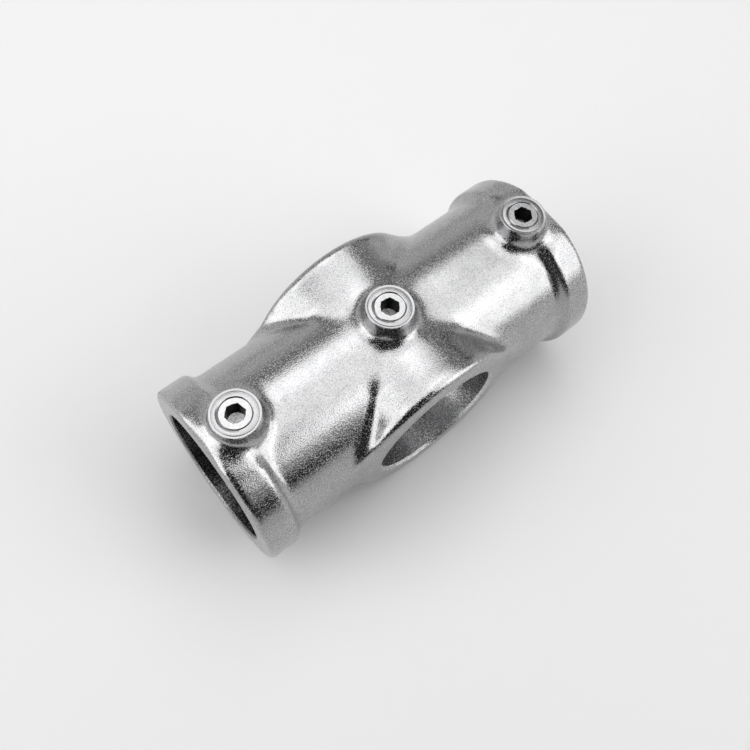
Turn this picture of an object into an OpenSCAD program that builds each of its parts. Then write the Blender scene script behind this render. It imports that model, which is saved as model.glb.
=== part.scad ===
// Two-socket cross for round tube: a cast pipe clamp connector.
// One tube passes straight through the hub, along Y, and a tube enters the barrel from each end,
// along X, until it meets the stop beside the hub. A set screw in each boss, along Z, grips each tube.
// The origin is where the bore axes cross.

/* [Tube] */
// Outside diameter of the tubes that the fitting joins
tube_d = 48.3; // [42.4:0.1:52]
// Gap all round between a tube and its bore
tube_gap = 0.45; // [0.2:0.05:0.8]

/* [Barrel] */
// Wall of the barrel between its collars
barrel_wall = 6; // [5.4:0.1:7.4]
// How far a tube goes into each end socket
socket_depth = 43.2; // [38:0.1:52]
// Metal between a socket's floor and the through bore, where it is thinnest
stop_wall = 5; // [4:0.1:8]
// Diameter of the round window through each stop
window_d = 28; // [20:0.5:36]

/* [Collars] */
// Wall of the collars
collar_wall = 9; // [8.2:0.1:10.4]
// Length of a collar's straight land, with its rounded rim
collar_land = 10; // [7:0.1:14]
// Rounding of the collars' outer edges
rim_round = 1.6; // [0.6:0.1:2.4]
// Rounding of a collar's shoulder
shoulder_round = 2; // [1.6:0.1:3]
// Hollow radius between the barrel and a collar's shoulder
shoulder_fillet = 3.5; // [2.5:0.1:5]
// Chamfer of the end sockets' mouths
mouth_chamfer = 0.6; // [0.3:0.1:1.2]

/* [Hub] */
// Width of the hub, along the through bore
hub_width = 62.8; // [61.6:0.2:70]
// Wall of the hub at its rims
hub_wall = 9; // [7.6:0.1:10.4]
// Rounding of the hub's rims
hub_round = 2.6; // [0.6:0.1:3]
// Width of the straight land beside the rounded edge of each of the hub's rims
hub_land = 0.5; // [0.2:0.1:3]
// Chamfer of the through bore's mouths
hub_chamfer = 1; // [0.3:0.1:1.5]
// Radius of the cast fillets in the valleys between the hub and the barrel
valley_fillet = 6; // [2.5:0.1:8]

/* [Bosses] */
// Height of the bosses' milled faces above the crown of the barrel
boss_rise = 7.8; // [6:0.1:11]
// Diameter of a boss's milled face
boss_face_d = 16.3; // [15:0.1:17.4]
// Diameter of a boss at its foot
boss_foot_d = 18; // [17.6:0.1:22]
// Radius of the cast fillet round a boss's foot
boss_fillet = 3.4; // [1.5:0.1:4]
// Broken edge round a boss's milled face
boss_edge = 0.4; // [0.2:0.1:0.8]
// Bevel at the mouth of a screw's hole
hole_bevel = 0.6; // [0.3:0.1:1]
// Distance from a mouth to the centre of the boss beside it
boss_inset = 12.8; // [11.5:0.1:18]

/* [Set screws] */
// Outside diameter of the screws' thread
thread_d = 12; // [10:0.5:13]
// Pitch of the thread
thread_pitch = 1.75; // [1:0.25:2]
// Gap all round between the two halves of the thread
thread_gap = 0.05; // [0.03:0.01:0.1]
// Length of a set screw
screw_length = 13.4; // [10:0.1:14]
// Gap between a screw's point and the surface of its bore
point_gap = 0.3; // [0.1:0.1:1]
// Width across the flats of the hexagon socket
hex_flats = 6; // [4:0.5:7]
// Depth of the hexagon socket
hex_depth = 6.8; // [4:0.1:7]
// Bevel round the top of a screw
screw_bevel = 0.5; // [0.3:0.1:1]
// Diameter of the cup in a screw's point
cup_d = 6; // [4:0.1:7]
// How each screw is turned, from the left screw to the right one
screw_turns = [44, 52, 55];

/* [Hidden] */
$fn = 96;

zinc = [0.72, 0.73, 0.74];
steel = [0.80, 0.80, 0.81];

bore_r = tube_d / 2 + tube_gap;
barrel_r = bore_r + barrel_wall;
collar_r = bore_r + collar_wall;
rim_r = bore_r + hub_wall;
stop_x = bore_r + stop_wall;
half_length = stop_x + socket_depth;
half_hub = hub_width / 2;

// A shoulder is a hollow arc and a round one, which meet where both have turned by shoulder_turn.
shoulder_reach = shoulder_fillet + shoulder_round;
shoulder_turn = acos(1 - (collar_r - barrel_r) / shoulder_reach);
shoulder_top = half_length - collar_land;
shoulder_foot = shoulder_top - shoulder_reach * sin(shoulder_turn);

// The hub's waist is one hollow arc, from the barrel's radius in the middle to the rims' radius.
hub_step = rim_r - barrel_r;
waist_half = half_hub - hub_round - hub_land;
waist_arc = (waist_half * waist_half + hub_step * hub_step) / (2 * hub_step);

boss_x = half_length - boss_inset;
boss_top = barrel_r + boss_rise;
boss_face_r = boss_face_d / 2;
boss_foot_r = boss_foot_d / 2;

// The thread is drawn as a plain cylinder at its pitch diameter.
thread_r = (thread_d - 0.6495 * thread_pitch) / 2;
hole_r = thread_r + thread_gap;
screw_r = thread_r - thread_gap;
screw_point = bore_r + point_gap;
screw_top = screw_point + screw_length;

arc_steps = 6;
fillet_steps = 5;
valley_stations = 24;
valley_start = 16;
boss_stations = 36;
bite = 0.15;
root = 1.2;
over = 1;

function arc(cx, cy, r, from, to) =
    [for (i = [0 : arc_steps])
        let (a = from + (to - from) * i / arc_steps)
        [cx + r * cos(a), cy + r * sin(a)]];
function flipped(points) = [for (i = [len(points) - 1 : -1 : 0]) [points[i].x, -points[i].y]];
function unit(v) = v / norm(v);

// Radius of the barrel's outside at x, over its shoulders and collars
function barrel_radius(x) =
    let (a = abs(x), turn_x = shoulder_fillet * sin(shoulder_turn))
    a <= shoulder_foot ? barrel_r
    : a <= shoulder_foot + turn_x
        ? barrel_r + shoulder_fillet - sqrt(shoulder_fillet * shoulder_fillet - pow(a - shoulder_foot, 2))
    : a < shoulder_top
        ? collar_r - shoulder_round + sqrt(shoulder_round * shoulder_round - pow(shoulder_top - a, 2))
    : collar_r;

// Radius of the hub's outside at y, along its waist
function hub_radius(y) =
    barrel_r + waist_arc - sqrt(waist_arc * waist_arc - min(y * y, waist_half * waist_half));

// Radius of a boss's side at the height z
function boss_radius(z) =
    boss_foot_r + (boss_face_r - boss_foot_r) * max(0, min(1, (z - barrel_r) / boss_rise));

// Section of a fillet rolled by a ball at c, between the directions u and v in which it touches the metal:
// the ball's own arc, sunk a little so that it cuts the surfaces, and one root point inside the metal.
function fillet_section(c, u, v, r) =
    let (half = acos(u * v) / 2, m = unit(u + v), sunk = c + bite * m)
    concat(
        [for (i = [0 : fillet_steps]) let (t = i / fillet_steps)
            sunk + r * (sin(2 * half * (1 - t)) * u + sin(2 * half * t) * v) / sin(2 * half)],
        [c + (r / cos(half) + root) * m]);

// Side faces between one ring of n points and the next, out of count rings
function ring_faces(n, count, closed) =
    [for (i = [0 : count - (closed ? 1 : 2)], j = [0 : n - 1])
        let (k = (j + 1) % n, here = i * n, next = ((i + 1) % count) * n)
        each [[here + j, here + k, next + j], [here + k, next + k, next + j]]];
function cap_faces(n, count) =
    concat([for (j = [0 : n - 3]) [n - 1, j + 1, j]],
           [for (j = [0 : n - 3]) [count * n - 1, (count - 1) * n + j, (count - 1) * n + j + 1]]);

// One valley between the barrel and the hub, from the top, down the side, to the underside
module valley() {
    r = valley_fillet;
    sections = [for (i = [0 : valley_stations])
        let (
            turn = valley_start + (180 - 2 * valley_start) * i / valley_stations,
            y = (barrel_r + r) * sin(turn),
            z = (barrel_r + r) * cos(turn),
            lean = asin(min(1, y / (waist_arc - r))),
            reach = barrel_r + waist_arc - (waist_arc - r) * cos(lean),
            x = sqrt(max(0, reach * reach - z * z)),
            hub_r = barrel_r + waist_arc * (1 - cos(lean)),
            c = [x, y, z],
            on_barrel = [x, y * barrel_r / (barrel_r + r), z * barrel_r / (barrel_r + r)],
            on_hub = [x * hub_r / reach, waist_arc * sin(lean), z * hub_r / reach]
        )
        fillet_section(c, unit(on_barrel - c), unit(on_hub - c), r)];
    n = fillet_steps + 2;
    count = valley_stations + 1;
    polyhedron([for (s = sections) each s], concat(ring_faces(n, count, false), cap_faces(n, count)));
}

// Ring of fillet round the foot of the boss that stands at x = at
module boss_foot(at, on_hub) {
    r = boss_fillet;
    sections = [for (i = [0 : boss_stations - 1])
        let (
            turn = 360 * i / boss_stations,
            d = [cos(turn), sin(turn)],
            rough = boss_foot_r + r,
            rough_x = at + rough * d.x,
            rough_z = sqrt(pow(barrel_radius(rough_x) + r, 2) - pow(rough * d.y, 2)),
            reach = boss_radius(rough_z) + r,
            x = at + reach * d.x,
            y = reach * d.y,
            barrel_z = sqrt(pow(barrel_radius(x) + r, 2) - y * y),
            hub_z = on_hub ? sqrt(pow(hub_radius(y) + r, 2) - x * x) : 0,
            c = [x, y, max(barrel_z, hub_z)],
            down = hub_z > barrel_z ? [-x, 0, -hub_z] : [0, -y, -barrel_z]
        )
        fillet_section(c, unit(down), [-d.x, -d.y, 0], r)];
    n = fillet_steps + 2;
    polyhedron([for (s = sections) each s], ring_faces(n, boss_stations, true));
}

module barrel() {
    half = concat(
        arc(barrel_r + shoulder_fillet, shoulder_foot, shoulder_fillet, 180, 180 - shoulder_turn),
        arc(collar_r - shoulder_round, shoulder_top, shoulder_round, -shoulder_turn, 0),
        arc(collar_r - rim_round, half_length - rim_round, rim_round, 0, 90),
        [[0, half_length]]);
    rotate([0, 90, 0]) rotate_extrude() polygon(concat(flipped(half), half));
}

module hub() {
    waist_turn = asin(waist_half / waist_arc);
    half = concat(
        arc(barrel_r + waist_arc, 0, waist_arc, 180, 180 - waist_turn),
        arc(rim_r - hub_round, half_hub - hub_round, hub_round, 0, 90),
        [[0, half_hub]]);
    rotate([-90, 0, 0]) rotate_extrude() polygon(concat(flipped(half), half));
}

module boss() {
    rotate_extrude() polygon([
        [0, bore_r],
        [boss_foot_r, bore_r],
        [boss_foot_r, barrel_r],
        [boss_radius(boss_top - boss_edge), boss_top - boss_edge],
        [boss_face_r - boss_edge, boss_top],
        [0, boss_top]]);
}

// Everything that the core leaves open: the through bore, the two sockets and the windows in their stops
module bores() {
    rotate([0, -90, 90]) cylinder(r = bore_r, h = hub_width + 2 * over, center = true);
    rotate([0, 90, 0]) cylinder(d = window_d, h = 2 * stop_x + 2 * over, center = true);
    for (side = [0, 180]) rotate([0, 0, side]) {
        translate([stop_x, 0, 0]) rotate([0, 90, 0]) cylinder(r = bore_r, h = socket_depth + over);
        translate([half_length - mouth_chamfer, 0, 0]) rotate([0, 90, 0]) mouth_cone(mouth_chamfer);
        rotate([0, 0, 90]) translate([half_hub - hub_chamfer, 0, 0]) rotate([0, 90, 0]) mouth_cone(hub_chamfer);
    }
}

module mouth_cone(chamfer) {
    cylinder(r1 = bore_r, r2 = bore_r + chamfer + over, h = chamfer + over);
}

module screw_hole() {
    cylinder(r = hole_r, h = boss_top + over);
    translate([0, 0, boss_top - hole_bevel])
        cylinder(r1 = hole_r, r2 = hole_r + hole_bevel + over, h = hole_bevel + over);
}

module cast_body() {
    color(zinc) difference() {
        union() {
            barrel();
            hub();
            intersection() {
                for (mx = [0, 1], my = [0, 1]) mirror([mx, 0, 0]) mirror([0, my, 0]) valley();
                cube([2 * half_length, hub_width - hub_round, 4 * rim_r], center = true);
            }
            for (at = [-boss_x, 0, boss_x]) {
                translate([at, 0, 0]) boss();
                boss_foot(at, at == 0);
            }
        }
        bores();
        for (at = [-boss_x, 0, boss_x]) translate([at, 0, 0]) screw_hole();
    }
}

// A set screw with a hexagon socket and a cup point, standing as it is delivered, clear of the bore
module set_screw(turn) {
    point_r = screw_r - thread_pitch * 0.75;
    color(steel) difference() {
        rotate_extrude() polygon([
            [0, screw_point + cup_d / 4],
            [cup_d / 2, screw_point],
            [point_r, screw_point],
            [screw_r, screw_point + screw_r - point_r],
            [screw_r, screw_top - screw_bevel],
            [screw_r - screw_bevel, screw_top],
            [0, screw_top]]);
        rotate([0, 0, turn]) translate([0, 0, screw_top - hex_depth])
            cylinder(d = hex_flats / cos(30), h = hex_depth + over, $fn = 6);
        translate([0, 0, screw_top - hex_depth - hex_flats / 6])
            cylinder(r1 = 0, r2 = hex_flats / 2, h = hex_flats / 6);
        translate([0, 0, screw_top - screw_bevel])
            cylinder(r1 = hex_flats / 2, r2 = hex_flats / 2 + screw_bevel + over, h = screw_bevel + over);
    }
}

cast_body();
translate([-boss_x, 0, 0]) set_screw(screw_turns[0]);  // set_screw_left
set_screw(screw_turns[1]);  // set_screw_middle
translate([boss_x, 0, 0]) set_screw(screw_turns[2]);  // set_screw_right
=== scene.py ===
# Pipe clamp connector: the finished looks of the casting and its three set screws.
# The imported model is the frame. Sizes below are in millimetres, the scene is in metres.
import math

import bpy
from mathutils import Matrix, Quaternion, Vector


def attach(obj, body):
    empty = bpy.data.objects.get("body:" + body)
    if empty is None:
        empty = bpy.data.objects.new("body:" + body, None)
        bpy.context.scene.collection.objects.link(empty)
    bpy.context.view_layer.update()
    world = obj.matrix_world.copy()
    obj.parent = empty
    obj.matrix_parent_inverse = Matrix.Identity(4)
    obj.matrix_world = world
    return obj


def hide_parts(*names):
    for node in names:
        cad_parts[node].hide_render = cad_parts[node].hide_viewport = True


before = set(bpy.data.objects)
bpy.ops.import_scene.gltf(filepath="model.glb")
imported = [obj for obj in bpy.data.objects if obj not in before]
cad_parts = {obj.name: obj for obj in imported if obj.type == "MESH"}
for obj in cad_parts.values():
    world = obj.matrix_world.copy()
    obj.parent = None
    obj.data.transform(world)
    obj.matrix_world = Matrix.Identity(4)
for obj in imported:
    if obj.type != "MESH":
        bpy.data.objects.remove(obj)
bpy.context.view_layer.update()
mm = 0.001


# working tools

outlineWeld = 0.0005  # points of an outline that are nearer than this become one


def pickOnly(*pieces):
    bpy.ops.object.select_all(action='DESELECT')
    for piece in pieces:
        piece.select_set(True)
    if pieces:
        bpy.context.view_layer.objects.active = pieces[0]


def arc(along, out, radius, start, end, steps):
    # points on a round, as (distance along the axis, distance out from it)
    turns = [math.radians(start + (end - start) * i / steps) for i in range(steps + 1)]
    return [(along + radius * math.sin(turn), out + radius * math.cos(turn)) for turn in turns]


def drawn(name, points):
    # draws a line point by point and stays in edit mode
    pickOnly()
    bpy.ops.mesh.primitive_plane_add(size=mm, location=(0, 0, 0))
    piece = bpy.context.object
    piece.name = name
    bpy.ops.object.mode_set(mode='EDIT')
    bpy.ops.mesh.select_all(action='SELECT')
    bpy.ops.mesh.merge(type='CENTER')
    bpy.ops.transform.translate(value=points[0])
    for here, there in zip(points, points[1:]):
        bpy.ops.mesh.extrude_vertices_move(TRANSFORM_OT_translate={'value': there - here})
    return piece


def turned(name, outline, axis, steps):
    # draws an outline and spins it once round the axis
    place = {'X': lambda along, out: (along, 0, out),
             'Y': lambda along, out: (0, along, out),
             'Z': lambda along, out: (out, 0, along)}[axis]
    piece = drawn(name, [Vector(place(*point)) * mm for point in outline])
    bpy.ops.mesh.select_all(action='SELECT')
    bpy.ops.mesh.spin(steps=steps, angle=2 * math.pi, center=(0, 0, 0),
                      axis=[axis == 'X', axis == 'Y', axis == 'Z'])
    bpy.ops.mesh.select_all(action='SELECT')
    bpy.ops.mesh.remove_doubles(threshold=outlineWeld * mm)
    bpy.ops.mesh.normals_make_consistent(inside=False)
    bpy.ops.object.mode_set(mode='OBJECT')
    return piece


def applied(piece, kind, **settings):
    pickOnly(piece)
    bpy.ops.object.modifier_add(type=kind)
    modifier = piece.modifiers[-1]
    for name, value in settings.items():
        setattr(modifier, name, value)
    bpy.ops.object.modifier_apply(modifier=modifier.name)


def cut(piece, cutter, finish, operation='DIFFERENCE'):
    # the new walls take the cutter's finish
    cutter.data.materials.clear()
    cutter.data.materials.append(finish)
    applied(piece, 'BOOLEAN', operation=operation, solver='MANIFOLD', material_mode='TRANSFER',
            object=cutter)
    bpy.data.objects.remove(cutter)


def moved(piece, x):
    pickOnly(piece)
    bpy.ops.transform.translate(value=(x * mm, 0, 0))
    bpy.ops.object.transform_apply(location=True, rotation=True, scale=True)
    return piece


def triangles(piece):
    return sum(len(face.vertices) - 2 for face in piece.data.polygons)


thread = {
    'pitch': 1.75,
    'flank': 30,      # half the angle of the groove, in degrees
    'steps': 72,      # in one turn
    'spareTurns': 2,  # at each end, trimmed off again
    'weld': 0.001,
    'trimGap': 0.00001,
}


def threadedRod(name, crest, root, pitchRadius, low, high):
    # one right-hand thread turned up a rod, trimmed square at both ends
    v = thread
    pitch = v['pitch']
    slope = math.tan(math.radians(v['flank']))
    crestHalf = pitch / 4 - (crest - pitchRadius) * slope
    rootHalf = pitch / 4 - (pitchRadius - root) * slope
    profile = [(0, root), (rootHalf, root), (pitch / 2 - crestHalf, crest),
               (pitch / 2 + crestHalf, crest), (pitch - rootHalf, root), (pitch, root)]
    start = (math.floor(low / pitch) - v['spareTurns']) * pitch
    rod = drawn(name, [Vector((out, 0, start + along)) * mm for along, out in profile])
    bpy.ops.object.mode_set(mode='OBJECT')
    applied(rod, 'SCREW', axis='Z', angle=2 * math.pi, screw_offset=pitch * mm, steps=v['steps'],
            render_steps=v['steps'], iterations=math.ceil((high - start) / pitch) + v['spareTurns'],
            use_merge_vertices=True, merge_threshold=v['weld'] * mm, use_smooth_shade=False)
    pickOnly(rod)
    bpy.ops.object.mode_set(mode='EDIT')
    bpy.ops.mesh.select_all(action='SELECT')
    bpy.ops.mesh.remove_doubles(threshold=v['weld'] * mm)
    for height, side in ((low, -1), (high, 1)):
        bpy.ops.mesh.select_all(action='SELECT')
        bpy.ops.mesh.bisect(plane_co=(0, 0, height * mm), plane_no=(0, 0, side), use_fill=True,
                            clear_outer=True, threshold=v['trimGap'] * mm)
    bpy.ops.mesh.select_all(action='SELECT')
    bpy.ops.mesh.remove_doubles(threshold=v['weld'] * mm)
    bpy.ops.mesh.normals_make_consistent(inside=False)
    bpy.ops.object.mode_set(mode='OBJECT')
    return rod


# finishes

# the sockets of a Mix node that mixes two colours
mixShare, mixFrom, mixTo, mixOut = 0, 6, 7, 2


def hexColour(code):
    # an sRGB hex value, turned to the linear light that shaders take
    channels = [int(code[i:i + 2], 16) / 255 for i in (1, 3, 5)]
    return [c / 12.92 if c <= 0.04045 else ((c + 0.055) / 1.055) ** 2.4 for c in channels] + [1]


def setInputs(tree, node, inputs):
    # links each input to a socket or gives it a plain value
    for name, value in inputs.items():
        if isinstance(value, bpy.types.NodeSocket):
            tree.links.new(value, node.inputs[name])
        else:
            node.inputs[name].default_value = value


def addNode(tree, kind, inputs, **settings):
    node = tree.nodes.new(kind)
    for name, value in settings.items():
        setattr(node, name, value)
    setInputs(tree, node, inputs)
    return node


def newFinish(name):
    finish = bpy.data.materials.new(name)
    finish.use_nodes = True
    tree = finish.node_tree
    return finish, tree, tree.nodes['Principled BSDF']


def millimetres(tree):
    # the place on the piece in real millimetres
    place = addNode(tree, 'ShaderNodeTexCoord', {})
    scaled = addNode(tree, 'ShaderNodeMapping',
                     {'Vector': place.outputs['Object'], 'Scale': (1 / mm, 1 / mm, 1 / mm)})
    return scaled.outputs['Vector']


def relief(tree, broad, broadHeight, fine, fineHeight):
    # a fine relief on a broad one
    low = addNode(tree, 'ShaderNodeBump', {'Height': broad, 'Distance': broadHeight * mm})
    high = addNode(tree, 'ShaderNodeBump',
                   {'Height': fine, 'Distance': fineHeight * mm, 'Normal': low.outputs['Normal']})
    return high.outputs['Normal']


def castGrain(tree, v, at, tint, broad, broadHeight, smooth):
    # the sand's grain under the zinc: it speckles the colour, dulls some spots and lies on a broad relief
    grain = addNode(tree, 'ShaderNodeTexNoise',
                    {'Vector': at, 'Scale': 1 / v['grain'], 'Detail': 1, 'Roughness': 0.5})
    speck = addNode(tree, 'ShaderNodeMapRange',
                    {'Value': grain.outputs['Fac'], 'From Min': 0.3, 'From Max': 0.7,
                     'To Min': v['speckDark'], 'To Max': v['speckLight']})
    colour = addNode(tree, 'ShaderNodeMix', {mixShare: 1, mixFrom: tint, mixTo: speck.outputs['Result']},
                     data_type='RGBA', blend_type='MULTIPLY')
    rough = addNode(tree, 'ShaderNodeMapRange',
                    {'Value': grain.outputs['Fac'], 'From Min': 0.5, 'From Max': 0.72,
                     'To Min': smooth, 'To Max': v['speckRough']})
    normal = relief(tree, broad, broadHeight, grain.outputs['Fac'], v['grainHeight'])
    return colour.outputs[mixOut], rough.outputs['Result'], normal


zincCoat = {
    'spangleLight': '#ADADAE',  # fresh zinc
    'spangleDark': '#A6A6A7',   # duller zinc between the bright patches
    'patch': 5.0,               # width of the patches
    'smooth': 0.12,             # roughness of the fresh zinc
    'dull': 0.16,               # and of the duller
    'grain': 0.42,              # width of the cast grain under the zinc
    'grainHeight': 0.05,
    'speckDark': 0.66,          # how the grain darkens and brightens the zinc
    'speckLight': 1.26,
    'speckRough': 0.35,         # roughness that the dullest grains add, which glint in dark reflections
    'swell': 6,                 # width of the shallow runs where the zinc drained
    'swellHeight': 0.05,
}


def galvanisedCasting():
    # hot-dip zinc over sand-cast malleable iron: bright and satin, with a fine grain that glitters where
    # the reflections change and calms down in the flat lights
    v = zincCoat
    finish, tree, shader = newFinish('hot_dip_galvanised_iron')
    at = millimetres(tree)
    patches = addNode(tree, 'ShaderNodeTexNoise',
                      {'Vector': at, 'Scale': 1 / v['patch'], 'Detail': 3, 'Roughness': 0.6})
    spread = addNode(tree, 'ShaderNodeMapRange',
                     {'Value': patches.outputs['Fac'], 'From Min': 0.35, 'From Max': 0.65})
    tint = addNode(tree, 'ShaderNodeMix',
                   {mixShare: spread.outputs['Result'], mixFrom: hexColour(v['spangleDark']),
                    mixTo: hexColour(v['spangleLight'])}, data_type='RGBA')
    swell = addNode(tree, 'ShaderNodeTexNoise', {'Vector': at, 'Scale': 1 / v['swell'], 'Detail': 1})
    colour, matt, normal = castGrain(tree, v, at, tint.outputs[mixOut], swell.outputs['Fac'],
                                     v['swellHeight'], smooth=0)
    sheen = addNode(tree, 'ShaderNodeMapRange',
                    {'Value': patches.outputs['Fac'], 'From Min': 0.3, 'From Max': 0.7,
                     'To Min': v['dull'], 'To Max': v['smooth']})
    rough = addNode(tree, 'ShaderNodeMath', {0: sheen.outputs['Result'], 1: matt}, operation='ADD')
    setInputs(tree, shader, {'Metallic': 1, 'Base Color': colour, 'Roughness': rough.outputs['Value'],
                             'Normal': normal})
    return finish


boreCoat = {
    # painted light: the through bore's two tones are far paler than the zinc outside, standing in for the
    # light that reaches into it
    'throughPaintedLitLight': '#E2E2E3',
    'throughPaintedLitDark': '#BEBEBF',
    'socketPaintedShadeLight': '#A2A2A3',  # painted shade: the blind sockets are coloured darker than the zinc outside, standing in for the shade that falls in them
    'socketPaintedShadeDark': '#5E5E5F',
    'streak': 0.6,             # width of a streak across the bore
    'streakLength': 26,        # its length along the bore
    'streakHeight': 0.03,
    'smooth': 0.2,             # roughness of the smoothest grains
    'grain': 0.42,
    'grainHeight': 0.05,
    'speckDark': 0.55,
    'speckLight': 1.35,
    'speckRough': 0.42,        # and of the dullest
}


def boreWall(name, light, dark, alongX):
    # zinc over the wall that a core leaves: duller than outside, with fine runs and scores along the bore;
    # its colours carry painted light in the through bore and painted shade in the sockets
    v = boreCoat
    finish, tree, shader = newFinish(name)
    at = millimetres(tree)
    long, wide = 1 / v['streakLength'], 1 / v['streak']
    stretch = (long, wide, wide) if alongX else (wide, long, wide)
    stretched = addNode(tree, 'ShaderNodeMapping', {'Vector': at, 'Scale': stretch})
    streaks = addNode(tree, 'ShaderNodeTexNoise',
                      {'Vector': stretched.outputs['Vector'], 'Scale': 1, 'Detail': 3, 'Roughness': 0.6})
    spread = addNode(tree, 'ShaderNodeMapRange',
                     {'Value': streaks.outputs['Fac'], 'From Min': 0.35, 'From Max': 0.68})
    tint = addNode(tree, 'ShaderNodeMix',
                   {mixShare: spread.outputs['Result'], mixFrom: hexColour(dark), mixTo: hexColour(light)},
                   data_type='RGBA')
    colour, rough, normal = castGrain(tree, v, at, tint.outputs[mixOut], streaks.outputs['Fac'],
                                      v['streakHeight'], v['smooth'])
    setInputs(tree, shader, {'Metallic': 1, 'Base Color': colour, 'Roughness': rough, 'Normal': normal})
    return finish


ringScale = 0.314  # scale at which a wave texture's rings are 1 mm apart


def ringedRelief(tree, v, at, broad):
    # a cutter's rings round the nearest of the three screw axes, on a broad relief
    split = addNode(tree, 'ShaderNodeSeparateXYZ', {'Vector': at})
    half = casting['bossX'] / 2
    folded = addNode(tree, 'ShaderNodeMath', {0: split.outputs['X'], 1: half, 2: -half}, operation='WRAP')
    flat = addNode(tree, 'ShaderNodeCombineXYZ', {'X': folded.outputs['Value'], 'Y': split.outputs['Y']})
    rings = addNode(tree, 'ShaderNodeTexWave',
                    {'Vector': flat.outputs['Vector'], 'Scale': ringScale / v['ring'],
                     'Distortion': 1.2, 'Detail': 2, 'Detail Scale': 0.6},
                    wave_type='RINGS', rings_direction='Z')
    return relief(tree, broad, v['wearHeight'], rings.outputs['Fac'], v['ringHeight'])


milledZinc = {
    'fresh': '#A8A8A9',
    'worn': '#949495',
    'wear': 1.6,          # width of a worn patch
    'wearHeight': 0.05,
    'ring': 0.45,         # distance between the cutter's rings
    'ringHeight': 0.012,
    'rough': 0.24,
}


def milledFace():
    # a boss faced and tapped after casting: cut bright, with the cutter's rings still showing
    v = milledZinc
    finish, tree, shader = newFinish('milled_zinc_face')
    at = millimetres(tree)
    wear = addNode(tree, 'ShaderNodeTexNoise',
                   {'Vector': at, 'Scale': 1 / v['wear'], 'Detail': 4, 'Roughness': 0.7})
    tint = addNode(tree, 'ShaderNodeMix',
                   {mixShare: wear.outputs['Fac'], mixFrom: hexColour(v['fresh']),
                    mixTo: hexColour(v['worn'])}, data_type='RGBA')
    setInputs(tree, shader, {'Metallic': 1, 'Base Color': tint.outputs[mixOut], 'Roughness': v['rough'],
                             'Normal': ringedRelief(tree, v, at, wear.outputs['Fac'])})
    return finish


screwPlating = {
    'light': '#B0B0B1',
    'dark': '#9B9B9C',
    'wear': 1.2,          # width of a cloud in the plating
    'wearHeight': 0.03,
    'ring': 0.3,          # feed of the lathe
    'ringHeight': 0.006,
    'smooth': 0.16,
    'dull': 0.32,
}


def platedScrew():
    # turned steel with bright electroplated zinc: smooth, with faint lathe rings
    v = screwPlating
    finish, tree, shader = newFinish('bright_zinc_plated_steel')
    at = millimetres(tree)
    cloud = addNode(tree, 'ShaderNodeTexNoise', {'Vector': at, 'Scale': 1 / v['wear'], 'Detail': 3})
    tint = addNode(tree, 'ShaderNodeMix',
                   {mixShare: cloud.outputs['Fac'], mixFrom: hexColour(v['light']),
                    mixTo: hexColour(v['dark'])}, data_type='RGBA')
    gloss = addNode(tree, 'ShaderNodeMapRange',
                    {'Value': cloud.outputs['Fac'], 'To Min': v['smooth'], 'To Max': v['dull']})
    setInputs(tree, shader, {'Metallic': 1, 'Base Color': tint.outputs[mixOut],
                             'Roughness': gloss.outputs['Result'],
                             'Normal': ringedRelief(tree, v, at, cloud.outputs['Fac'])})
    return finish


shadedBroachedSteel = {
    # painted shade: near-black tones standing in for the shade inside the hexagon recess
    'dark': '#2A2B2C',
    'light': '#4E4F51',
    'tear': 0.25,        # width of a tear across the wall
    'tearScale': 0.3,    # scale along the wall, where a tear is about 3.3 mm long
    'tearHeight': 0.03,
    'rough': 0.4,
}


def broachedSocket():
    # the hexagon's walls: torn by the broach and dull, and coloured near black as painted shade for the
    # recess of the socket
    v = shadedBroachedSteel
    finish, tree, shader = newFinish('broached_steel_painted_shade')
    stretched = addNode(tree, 'ShaderNodeMapping',
                        {'Vector': millimetres(tree),
                         'Scale': (1 / v['tear'], 1 / v['tear'], v['tearScale'])})
    tears = addNode(tree, 'ShaderNodeTexNoise',
                    {'Vector': stretched.outputs['Vector'], 'Scale': 1, 'Detail': 3})
    tint = addNode(tree, 'ShaderNodeMix',
                   {mixShare: tears.outputs['Fac'], mixFrom: hexColour(v['dark']),
                    mixTo: hexColour(v['light'])}, data_type='RGBA')
    bump = addNode(tree, 'ShaderNodeBump',
                   {'Height': tears.outputs['Fac'], 'Distance': v['tearHeight'] * mm})
    setInputs(tree, shader, {'Metallic': 1, 'Base Color': tint.outputs[mixOut], 'Roughness': v['rough'],
                             'Normal': bump.outputs['Normal']})
    return finish


# the casting

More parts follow.
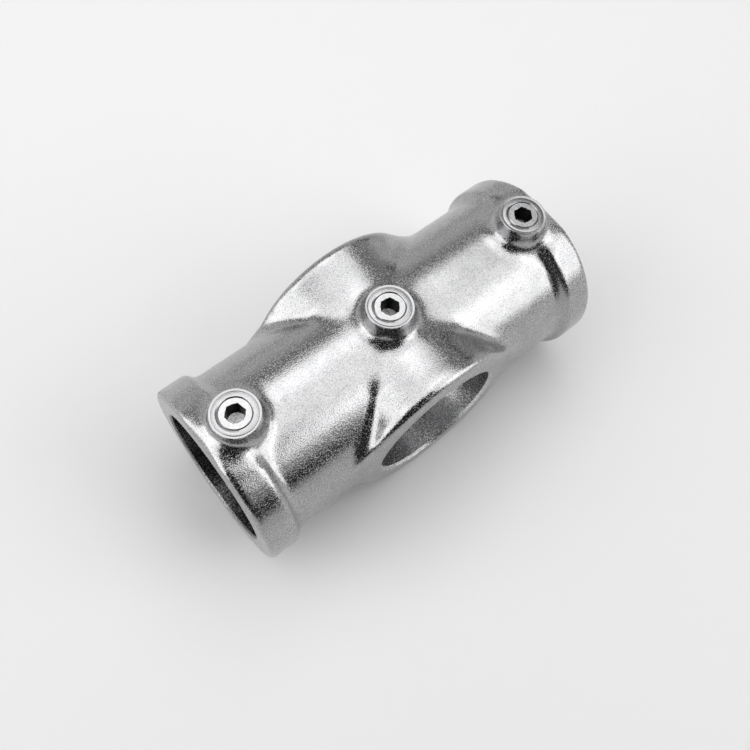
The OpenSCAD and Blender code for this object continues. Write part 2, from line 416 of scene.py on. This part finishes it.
casting = {
    'boreRadius': 24.6,
    'barrelRadius': 30.6,
    'collarRadius': 33.6,
    'halfLength': 72.8,
    'collarLand': 10,
    'shoulderFillet': 3.5,
    'shoulderRound': 2,
    'rimRound': 1.6,
    'halfHub': 31.4,
    'hubRadius': 33.6,      # of its rims
    'hubRound': 2.6,
    'hubLand': 0.5,
    'hubChamfer': 1,
    'stopX': 29.6,          # floor of a socket
    'windowRadius': 14,
    'coreRound': 1.2,       # round in the corner of a socket's floor
    'mouthChamfer': 0.6,
    'bossX': 60,
    'bossTop': 38.4,
    'bossFaceRadius': 8.15,
    'bossFootRadius': 9,
    'bossSpare': 0.8,       # height of boss that the facing takes off
    'faceBevel': 0.2,
    'grooveRadius': 7.15,   # ring that the facing cutter leaves on a boss
    'grooveHalf': 0.15,     # half its width
    'grooveDepth': 0.06,
    'sinkRadius': 5.5,      # mouth of a tapped hole
    'sinkStart': 4,         # radius at which the countersink begins, inside the hole
    'tapMajor': 6.05,
    'tapMinor': 5.1,
    'tapPitchRadius': 5.48,
    'overcut': 1,           # how far a cutter stands past what it cuts
    'stopOvercut': 0.5,
    'facingReach': 2,       # how far the facing cutter reaches round and down past a boss
    'tapOvercut': (3, 2),   # how far the tap stands past the hole, below and above
    'voxel': 0.8,
    'softening': 5,         # rounds of smoothing all over
    'footSoftening': 120,   # and in the fillets round the bosses
    'footZone': 16,         # radius of those fillets round an end boss
    'crossZone': 26,        # and round the middle one, where the valleys meet
    'zoneFade': 5,          # width over which a zone fades out
    'faceGap': 2.5,         # depth under a boss face that keeps its shape
    'faceFade': 3,
    'segments': 192,        # faces round the barrel and the hub
    'boreSegments': 240,
    'windowSegments': 96,
    'bossSegments': 96,
    'faceSegments': 128,
    'smoothAngle': 32,
}
bossPlaces = (-casting['bossX'], 0, casting['bossX'])


def mirrored(half):
    # the whole outline of a shape that is the same at both ends
    return [(-along, out) for along, out in reversed(half)] + half


def barrelBlank():
    v = casting
    reach = v['shoulderFillet'] + v['shoulderRound']
    turn = math.degrees(math.acos(1 - (v['collarRadius'] - v['barrelRadius']) / reach))
    top = v['halfLength'] - v['collarLand']
    foot = top - reach * math.sin(math.radians(turn))
    half = arc(foot, v['barrelRadius'] + v['shoulderFillet'], v['shoulderFillet'],
               180, 180 - turn, steps=12)
    half += arc(top, v['collarRadius'] - v['shoulderRound'], v['shoulderRound'], -turn, 0, steps=10)[1:]
    half += arc(v['halfLength'] - v['rimRound'], v['collarRadius'] - v['rimRound'], v['rimRound'],
                0, 90, steps=8)
    half += [(v['halfLength'], 0)]
    return turned('barrelBlank', mirrored(half), 'X', v['segments'])


def hubBlank():
    # the waist between the rims is one hollow arc
    v = casting
    step = v['hubRadius'] - v['barrelRadius']
    waist = v['halfHub'] - v['hubRound'] - v['hubLand']
    radius = (waist ** 2 + step ** 2) / (2 * step)
    turn = math.degrees(math.asin(waist / radius))
    half = arc(0, v['barrelRadius'] + radius, radius, 180, 180 - turn, steps=20)[1:]
    half += arc(v['halfHub'] - v['hubRound'], v['hubRadius'] - v['hubRound'], v['hubRound'],
                0, 90, steps=8)
    half += [(v['halfHub'], 0)]
    outline = [(-along, out) for along, out in reversed(half)] + [(0, v['barrelRadius'])] + half
    return turned('hubBlank', outline, 'Y', v['segments'])


def bossBlank(x):
    v = casting
    lean = (v['bossFootRadius'] - v['bossFaceRadius']) / (v['bossTop'] - v['barrelRadius'])
    top = v['bossTop'] + v['bossSpare']
    outline = [(v['boreRadius'], 0), (v['boreRadius'], v['bossFootRadius']),
               (v['barrelRadius'], v['bossFootRadius']),
               (top, v['bossFaceRadius'] - lean * v['bossSpare']), (top, 0)]
    return moved(turned('bossBlank', outline, 'Z', v['bossSegments']), x)


def castSkin():
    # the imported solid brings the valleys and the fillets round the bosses
    v = casting
    body = bpy.data.objects.new('casting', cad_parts['cast_body'].data.copy())
    bpy.context.scene.collection.objects.link(body)
    pickOnly(body)
    bpy.ops.object.mode_set(mode='EDIT')
    bpy.ops.mesh.select_all(action='SELECT')
    bpy.ops.mesh.remove_doubles(threshold=outlineWeld * mm)
    bpy.ops.object.mode_set(mode='OBJECT')
    body.data.materials.clear()

    # fine blanks over it keep the round parts round, and all of it becomes one skin
    blanks = [barrelBlank(), hubBlank()] + [bossBlank(x) for x in bossPlaces]
    pickOnly(body, *blanks)
    bpy.ops.object.join()
    applied(body, 'REMESH', mode='VOXEL', voxel_size=v['voxel'] * mm, adaptivity=0)
    applied(body, 'SMOOTH', factor=0.5, iterations=v['softening'])

    # the cast fillets on the upper side are blended further
    feet = body.vertex_groups.new(name='feet')
    for point in body.data.vertices:
        at = point.co / mm
        inside = max(v['crossZone'] - math.hypot(at.x, at.y),
                     v['footZone'] - math.hypot(abs(at.x) - v['bossX'], at.y))
        share = min(1, inside / v['zoneFade'], (v['bossTop'] - v['faceGap'] - at.z) / v['faceFade'])
        if at.z > 0 and share > 0:
            feet.add([point.index], share, 'REPLACE')
    applied(body, 'SMOOTH', factor=0.5, iterations=v['footSoftening'], vertex_group='feet')
    print('casting skin:', triangles(body), 'triangles')
    return body


def cutBores(body):
    v = casting
    # the socket walls get painted shade and the through wall gets painted light, from the colours in
    # boreCoat
    shadedSocketWall = boreWall('cored_socket_wall_painted_shade', boreCoat['socketPaintedShadeLight'], boreCoat['socketPaintedShadeDark'], alongX=True)
    litThroughWall = boreWall('cored_through_wall_painted_light', boreCoat['throughPaintedLitLight'], boreCoat['throughPaintedLitDark'],
                           alongX=False)

    # the through bore, chamfered at both mouths
    half = [(v['halfHub'] - v['hubChamfer'], v['boreRadius']),
            (v['halfHub'] + v['overcut'], v['boreRadius'] + v['hubChamfer'] + v['overcut']),
            (v['halfHub'] + v['overcut'], 0)]
    cut(body, turned('throughBore', mirrored(half), 'Y', v['boreSegments']), litThroughWall)

    # a socket in each end, up to its stop, and the window through both stops
    for side in (-1, 1):
        outline = [(v['stopX'], 0)]
        outline += arc(v['stopX'] + v['coreRound'], v['boreRadius'] - v['coreRound'], v['coreRound'],
                       -90, 0, steps=6)
        outline += [(v['halfLength'] - v['mouthChamfer'], v['boreRadius']),
                    (v['halfLength'] + v['overcut'], v['boreRadius'] + v['mouthChamfer'] + v['overcut']),
                    (v['halfLength'] + v['overcut'], 0)]
        outline = [(side * along, out) for along, out in outline]
        cut(body, turned('socket', outline, 'X', v['boreSegments']), shadedSocketWall)
    half = [(v['stopX'] + v['stopOvercut'], v['windowRadius']), (v['stopX'] + v['stopOvercut'], 0)]
    cut(body, turned('windows', mirrored(half), 'X', v['windowSegments']), shadedSocketWall)
    print('bores cut')


def tapBosses(body):
    # each boss is faced with a fine ring, then drilled, tapped and countersunk
    v = casting
    milled = milledFace()
    top = v['bossTop']
    edge = v['bossFaceRadius'] - v['faceBevel']
    below, above = v['tapOvercut']
    for x in bossPlaces:
        groove, reach = v['grooveRadius'], v['facingReach']
        outline = [(top, 0), (top, groove - v['grooveHalf']), (top - v['grooveDepth'], groove),
                   (top, groove + v['grooveHalf']), (top, edge), (top - reach, edge + reach),
                   (top + 2 * reach, edge + reach), (top + 2 * reach, 0)]
        cut(body, moved(turned('facing', outline, 'Z', v['faceSegments']), x), milled)
        tap = threadedRod('tap', v['tapMajor'], v['tapMinor'], v['tapPitchRadius'],
                          v['boreRadius'] - below, top + above)
        cut(body, moved(tap, x), milled)
        cone = top - v['sinkRadius']
        outline = [(cone + v['sinkStart'], 0), (cone + v['sinkStart'], v['sinkStart']),
                   (top + v['overcut'], v['sinkRadius'] + v['overcut']), (top + v['overcut'], 0)]
        cut(body, moved(turned('countersink', outline, 'Z', v['faceSegments']), x), milled)
    print('bosses tapped')


def makeCasting():
    body = castSkin()
    body.data.materials.append(galvanisedCasting())
    cutBores(body)
    tapBosses(body)
    pickOnly(body)
    bpy.ops.object.shade_smooth_by_angle(angle=math.radians(casting['smoothAngle']))
    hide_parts('cast_body')
    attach(body, 'casting')
    print('casting made:', triangles(body), 'triangles')


# the set screws

screw = {
    'major': 5.93,
    'minor': 4.95,
    'pitchRadius': 5.38,
    'spare': 0.4,         # how far the turning stands outside the thread
    'endSpare': 2,        # rod at each end that the turning takes off
    'point': 24.9,
    'top': 38.3,
    'faceRadius': 5.0,    # flat top inside the bevel
    'pointRadius': 4.1,
    'cupRadius': 3,
    'cupDepth': 1.5,
    'flats': 6,
    'socketDepth': 6.8,
    'coneDepth': 1,       # drill point below the socket
    'coneOvercut': 0.2,
    'socketBevel': 0.15,
    'overcut': 1,
    'segments': 128,
    'drillSegments': 64,
    'mouthSegments': 96,
    'smoothAngle': 25,
    'turns': {'left': 44, 'middle': 52, 'right': 55},  # degrees, as the photograph shows the hexagons
}


def makeScrew(side, x, finish, socketFinish):
    v = screw
    wide = v['major'] + v['spare']
    outline = [(v['point'] + v['cupDepth'], 0), (v['point'], v['cupRadius']),
               (v['point'], v['pointRadius']), (v['point'] + wide - v['pointRadius'], wide),
               (v['top'] - wide + v['faceRadius'], wide),
               (v['top'], v['faceRadius']), (v['top'], 0)]
    piece = threadedRod('set_screw_' + side + '_piece', v['major'], v['minor'], v['pitchRadius'],
                        v['point'] - v['endSpare'], v['top'] + v['endSpare'])
    piece.data.materials.append(finish)
    cut(piece, turned('turning', outline, 'Z', v['segments']), finish, 'INTERSECT')

    # hexagon socket: drilled cone, broached sides and a bevel at the mouth
    floor = v['top'] - v['socketDepth']
    half = v['flats'] / 2
    tall = v['socketDepth'] + v['overcut']
    pickOnly()
    bpy.ops.mesh.primitive_cylinder_add(vertices=6, radius=half / math.cos(math.radians(30)) * mm,
                                        depth=tall * mm, location=(0, 0, (floor + tall / 2) * mm),
                                        rotation=(0, 0, math.radians(v['turns'][side] + 30)))
    hexagon = bpy.context.object
    bpy.ops.object.transform_apply(location=True, rotation=True, scale=True)
    cut(piece, hexagon, socketFinish)
    outline = [(floor - v['coneDepth'], 0), (floor, half), (floor + v['coneOvercut'], half),
               (floor + v['coneOvercut'], 0)]
    cut(piece, turned('drillPoint', outline, 'Z', v['drillSegments']), finish)
    mouth = half + v['socketBevel']
    outline = [(v['top'] - mouth, 0), (v['top'] + v['overcut'], mouth + v['overcut']),
               (v['top'] + v['overcut'], 0)]
    cut(piece, turned('mouthBevel', outline, 'Z', v['mouthSegments']), finish)

    moved(piece, x)
    bpy.ops.object.shade_smooth_by_angle(angle=math.radians(v['smoothAngle']))
    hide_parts('set_screw_' + side)
    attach(piece, side + '_screw')
    print(side, 'screw made:', triangles(piece), 'triangles')


makeCasting()
plated = platedScrew()
broached = broachedSocket()
for side, x in zip(('left', 'middle', 'right'), bossPlaces):
    makeScrew(side, x, plated, broached)


# floor, light and camera: these sizes are in metres

studio = {
    'floorColour': '#DADADA',
    'floorRadius': 6.0,
    'floorRough': 0.9,
    'floorSpecular': 0.1,
    'cardColour': '#262626',
    'horizon': '#E0E0E0',
    'sky': 0.32,             # light of the sky above the horizon band
    'bandStart': 0.35,       # sines of the heights between which the band turns to sky
    'bandEnd': 0.51,
}


def makeFloor():
    pickOnly()
    bpy.ops.mesh.primitive_circle_add(vertices=96, radius=studio['floorRadius'], fill_type='NGON',
                                      location=(0, 0, -casting['collarRadius'] * mm))
    floor = bpy.context.object
    floor.name = 'floor'
    finish, tree, shader = newFinish('matt_white_table')
    setInputs(tree, shader, {'Base Color': hexColour(studio['floorColour']),
                             'Roughness': studio['floorRough'],
                             'Specular IOR Level': studio['floorSpecular']})
    floor.data.materials.append(finish)


def around(azimuth, elevation, distance):
    # a place seen from the casting: azimuth 0 is the front, 90 the right end
    turn, rise = math.radians(azimuth), math.radians(elevation)
    level = math.cos(rise)
    return Vector((math.sin(turn) * level, -math.cos(turn) * level, math.sin(rise))) * distance


def above(x, y, height):
    # a stand that looks straight down: its place and its aim
    return Vector((x, y, height)), Vector((x, y, 0))


def beside(azimuth, distance, height):
    # a stand that looks level across the casting
    return around(azimuth, 0, distance) + Vector((0, 0, height)), Vector((0, 0, height))


def facing(place, aim):
    return (aim - place).to_track_quat('-Z', 'Y')


lamps = {
    'overheadLight': {'stand': above(-0.215, -0.199, 1.0), 'size': (1.645, 2.212), 'radiance': 1.65,
                      'turn': -10},
    'overheadCorner': {'stand': above(0.649, -0.77, 1.0), 'size': (0.255, 1.389), 'radiance': 1.65,
                       'turn': -10},
    'overheadMiddle': {'stand': above(0.15, 0.4, 0.95), 'size': (0.5, 0.4), 'radiance': 0.8, 'turn': 0},
    'leftLight': {'stand': beside(-108, 1.3, 0.7), 'size': (1.5, 1.4), 'radiance': 1.9, 'turn': 0},
    'frontLight': {'stand': beside(41.5, 1.35, 0.93), 'size': (1.0, 1.34), 'radiance': 1.85, 'turn': 0},
}


def makeLamp(name, stand, size, radiance, turn):
    # an area lamp seen as a plain bright sheet of this radiance
    place, aim = stand
    width, height = size
    data = bpy.data.lights.new(name, 'AREA')
    data.shape = 'RECTANGLE'
    data.size, data.size_y = width, height
    data.energy = radiance * math.pi * width * height
    lamp = bpy.data.objects.new(name, data)
    bpy.context.scene.collection.objects.link(lamp)
    lamp.location = place
    lamp.rotation_euler = (facing(place, aim) @ Quaternion((0, 0, 1), math.radians(turn))).to_euler()
    lamp.visible_camera = False


cards = {
    'frontCard': {'stand': beside(-31, 1.15, 0.3), 'size': (2.65, 0.6), 'corners': 4},
    'cameraCard': {'stand': (around(-41, 47, 0.8), Vector()), 'size': (0.95, 0.97), 'corners': 48},
    'rightCard': {'stand': beside(116, 1.2, 0.47), 'size': (0.5, 0.26), 'corners': 4},
}


def makeCard(name, stand, size, corners):
    # a dark card that only the metal sees, square or nearly round
    place, aim = stand
    width, height = size
    pickOnly()
    bpy.ops.mesh.primitive_circle_add(vertices=corners, radius=0.5 / math.cos(math.pi / corners),
                                      fill_type='NGON')
    bpy.ops.transform.rotate(value=math.pi / corners, orient_axis='Z', center_override=(0, 0, 0))
    card = bpy.context.object
    card.name = name
    bpy.ops.object.transform_apply(location=True, rotation=True, scale=True)
    card.scale = (width, height, 1)
    card.location = place
    card.rotation_euler = facing(place, aim).to_euler()
    bpy.ops.object.transform_apply(location=True, rotation=True, scale=True)
    finish, tree, shader = newFinish(name)
    setInputs(tree, shader, {'Base Color': hexColour(studio['cardColour']), 'Roughness': 1})
    card.data.materials.append(finish)
    card.visible_camera = False


def makeWorld():
    # a pale band round the horizon under a plain sky
    world = bpy.data.worlds.new('studio')
    bpy.context.scene.world = world
    world.use_nodes = True
    tree = world.node_tree
    place = addNode(tree, 'ShaderNodeTexCoord', {})
    split = addNode(tree, 'ShaderNodeSeparateXYZ', {'Vector': place.outputs['Generated']})
    fade = addNode(tree, 'ShaderNodeMapRange',
                   {'Value': split.outputs['Z'], 'From Min': studio['bandStart'],
                    'From Max': studio['bandEnd']}, interpolation_type='SMOOTHSTEP')
    tint = addNode(tree, 'ShaderNodeMix',
                   {mixShare: fade.outputs['Result'], mixFrom: hexColour(studio['horizon']),
                    mixTo: [studio['sky']] * 3 + [1]}, data_type='RGBA')
    setInputs(tree, tree.nodes['Background'], {'Color': tint.outputs[mixOut]})


# fitted to the photograph's rims, bores and boss faces
viewpoint = {
    'place': (-96.55, -85.01, 270.54),  # in millimetres
    'right': (0.77359, -0.62985, 0.06969),
    'up': (0.53768, 0.71060, 0.45381),
    'back': (-0.33535, -0.31359, 0.88837),
    'lens': 39.62,
    'sensor': 36,
    'shift': (0.0005, -0.0625),         # shares of the picture's width
    'nearest': 0.01,
}


def makeCamera():
    v = viewpoint
    data = bpy.data.cameras.new('camera')
    camera = bpy.data.objects.new('camera', data)
    bpy.context.scene.collection.objects.link(camera)
    data.lens = v['lens']
    data.sensor_width = v['sensor']
    data.shift_x, data.shift_y = v['shift']
    data.clip_start = v['nearest']
    turn = Matrix((v['right'], v['up'], v['back'])).transposed().to_4x4()
    camera.matrix_world = Matrix.Translation(Vector(v['place']) * mm) @ turn
    bpy.context.scene.camera = camera


makeFloor()
for name, values in lamps.items():
    makeLamp(name, **values)
for name, values in cards.items():
    makeCard(name, **values)
makeWorld()
makeCamera()
bpy.context.scene.view_settings.view_transform = 'Standard'
print('studio set')
